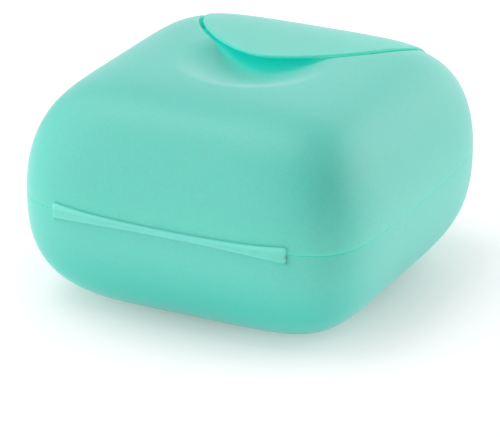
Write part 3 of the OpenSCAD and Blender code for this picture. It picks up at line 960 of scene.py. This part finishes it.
def tray_plastic():
    """Milky white moulded plastic: a slow wander of its white, a fine grain and a little unevenness in
    gloss."""
    finish = Finish("tray_plastic")
    finish.set(Base_Color=finish.blend(finish.noise(60), colour(236, 242, 239), colour(246, 249, 247)))
    finish.set(Roughness=finish.noise(900) * 0.1 + 0.36)
    finish.set(Normal=finish.bump(finish.noise(4200), distance=0.00001, strength=0.35))
    return finish.material


def soft_silicone():
    """Pale silicone: dull, lightly translucent, with a powdery grain."""
    finish = Finish("silicone")
    finish.set(Base_Color=finish.blend(finish.noise(120), colour(222, 230, 227), colour(236, 241, 239)))
    finish.set(Roughness=finish.noise(1500) * 0.12 + 0.5)
    finish.set(Normal=finish.bump(finish.noise(3000), distance=0.00002, strength=0.3))
    finish.set(Subsurface_Weight=0.2, Subsurface_Scale=0.002)
    return finish.material


# The mint's crevice colours and glows are painted light, standing in for light that has passed through the
# plastic
MINT = mint_plastic("mint_plastic", deep=(0.112, 0.685, 0.57, 1), pale=(0.147, 0.755, 0.64, 1),
                    crevice_painted_light=(0.0, 0.98, 0.85, 1), tongue_painted_glow=(0.0, 0.066, 0.058, 1),
                    low_crevice_painted_light=(0.0, 0.72, 0.60, 1), low_painted_glow=(0.0, 0.18, 0.145, 1), gloss=0.46)
# The strap's colours are paler than the box's: partly the whitening of bent plastic, partly a painted sheen
STRAP = mint_plastic("mint_strap", deep=(0.15, 0.71, 0.590, 1), pale=(0.19, 0.77, 0.65, 1),
                     crevice_painted_light=STRAP_CREVICE_PAINTED_LIGHT, tongue_painted_glow=BLACK, low_crevice_painted_light=STRAP_CREVICE_PAINTED_LIGHT, low_painted_glow=BLACK, gloss=0.40,
                     painted_edge_light=True)
TRAY = tray_plastic()
SILICONE = soft_silicone()


def dress(piece, body, material, slot, *nodes):
    """Gives a piece its finish, hangs it on the body that it rides on and hides the solids that it stands
    for.
    The argument slot is not used.
    """
    piece.data.materials.append(material)
    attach(piece, body)
    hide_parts(*nodes)


def flexible(piece, nodes):
    """Gives a strap its finish, hides the solids that it stands for and bakes its place into its mesh."""
    piece.data.materials.append(STRAP)
    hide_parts(*nodes)
    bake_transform(piece)


dress(base_piece(), "base", MINT, "mint_plastic", "base_shell")
dress(lid_piece(), "lid", MINT, "mint_plastic", "lid_shell")
dress(clasp_piece(), "clasp", MINT, "mint_plastic", "clasp")
dress(seal_piece(), "lid", SILICONE, "silicone", "seal_ring")
dress(tray_piece(), "tray", TRAY, "tray_plastic", "drain_tray")

# Backs of the straps: each bites into a wall, or the clasp's foot, above and below its fold, and stands off
# between the two
CLASP_FOOT = SIDE_GAP + CLASP_T - BITE
hinge_back = [(FOLD - 0.6, -BITE), (FOLD - 0.45, SIDE_GAP), (SEAM + 0.15, SIDE_GAP), (SEAM + 0.3, -BITE)]
clasp_back = [(FOLD - 0.3, -BITE), (FOLD - 0.15, SIDE_GAP)]
clasp_back += [(SEAM - 0.05, SIDE_GAP), (SEAM + 0.05, CLASP_FOOT)]
flexible(strap_piece("hinge_strap", STRAP_HALF, -1, STRAP_PROUD, (-BITE, -BITE), hinge_back),
         ["hinge_strap_lid", "hinge_strap_base"])
flexible(strap_piece("clasp_strap", CLASP_STRAP_HALF, 1, CLASP_STRAP_PROUD, (CLASP_FOOT, -BITE), clasp_back),
         ["clasp_hinge_base", "clasp_hinge_clasp"])

# Pale paper floor, with a small glow of its own that grows away from the box: the dimmer glow near the box
# is a painted shadow round it
FLOOR_HALF = 3.0
FLOOR_PAINTED_SHADOW_RAMP = (0.01, 0.078)
FLOOR_GREYS = (0.54, 0.54, 0.54, 1), (0.56, 0.56, 0.56, 1)
FLOOR_GLOWS_PAINTED_SHADOW = (0.22, 0.22, 0.22, 1), (1, 1, 1, 1)
FLOOR_GLOW_STRENGTH = 0.6
floor_mesh = bpy.data.meshes.new("floor")
floor_corners = [(FLOOR_HALF * x, FLOOR_HALF * y, 0) for x, y in ((-1, -1), (1, -1), (1, 1), (-1, 1))]
floor_mesh.from_pydata(floor_corners, [], [(0, 1, 2, 3)])
floor = bpy.data.objects.new("floor", floor_mesh)
bpy.context.scene.collection.objects.link(floor)
paper = Finish("floor_paper")
paper.set(Base_Color=paper.blend(paper.noise(3), *FLOOR_GREYS), Roughness=0.9)
from_middle = paper.node("ShaderNodeVectorMath", {"operation": "LENGTH"}, {0: paper.place}, "Value")
# Painted shadow: the floor's glow is dimmer near the box
floor_glow_painted_shadow = paper.blend(paper.ramp(from_middle, *FLOOR_PAINTED_SHADOW_RAMP), *FLOOR_GLOWS_PAINTED_SHADOW)
paper.set(Emission_Color=floor_glow_painted_shadow, Emission_Strength=FLOOR_GLOW_STRENGTH)
floor.data.materials.append(paper.material)

# Soft studio light: an even white surround, and softboxes given as place, width, height and power
SURROUND_STRENGTH = 0.32
LIGHT_AIM = Vector((0, 0, 0.03))
SOFTBOXES = {"key_light": ((-0.87, -0.98, 0.52), 1.2, 1.0, 5.3),
             "side_light": ((-1.2, -0.1, 0.55), 1.2, 1.0, 1.3),
             "top_light": ((-0.5, -0.08, 1.17), 1.0, 0.9, 6.8),
             "back_light": ((0.0, 1.25, 0.45), 1.2, 0.8, 3.2),
             "rim_light": ((0.9, 0.95, 0.5), 1.2, 1.0, 6.8)}
world = bpy.data.worlds.new("studio")
bpy.context.scene.world = world
world.use_nodes = True
world.node_tree.nodes["Background"].inputs["Color"].default_value = (1, 1, 1, 1)
world.node_tree.nodes["Background"].inputs["Strength"].default_value = SURROUND_STRENGTH


def place_at(name, data, place, aim):
    """A light or camera in the scene at a place, turned to a point."""
    holder = bpy.data.objects.new(name, data)
    holder.location = place
    holder.rotation_euler = (aim - Vector(place)).to_track_quat("-Z", "Y").to_euler()
    bpy.context.scene.collection.objects.link(holder)
    return holder


for name, (place, width, height, power) in SOFTBOXES.items():
    light = bpy.data.lights.new(name, "AREA")
    light.shape = "RECTANGLE"
    light.size = width
    light.size_y = height
    light.energy = power
    place_at(name, light, place, LIGHT_AIM)

# Camera at the photo's viewing angle, with a long lens in millimetres
CAMERA_PLACE = (0.3497, -0.7032, 0.3459)
CAMERA_AIM = Vector((0.00141, -0.00508, 0.01713))
camera_data = bpy.data.cameras.new("camera")
camera_data.lens = 225.34
camera_data.sensor_width = 36
camera_data.clip_end = 20
bpy.context.scene.camera = place_at("camera", camera_data, CAMERA_PLACE, CAMERA_AIM)
bpy.context.scene.view_settings.view_transform = "Standard"
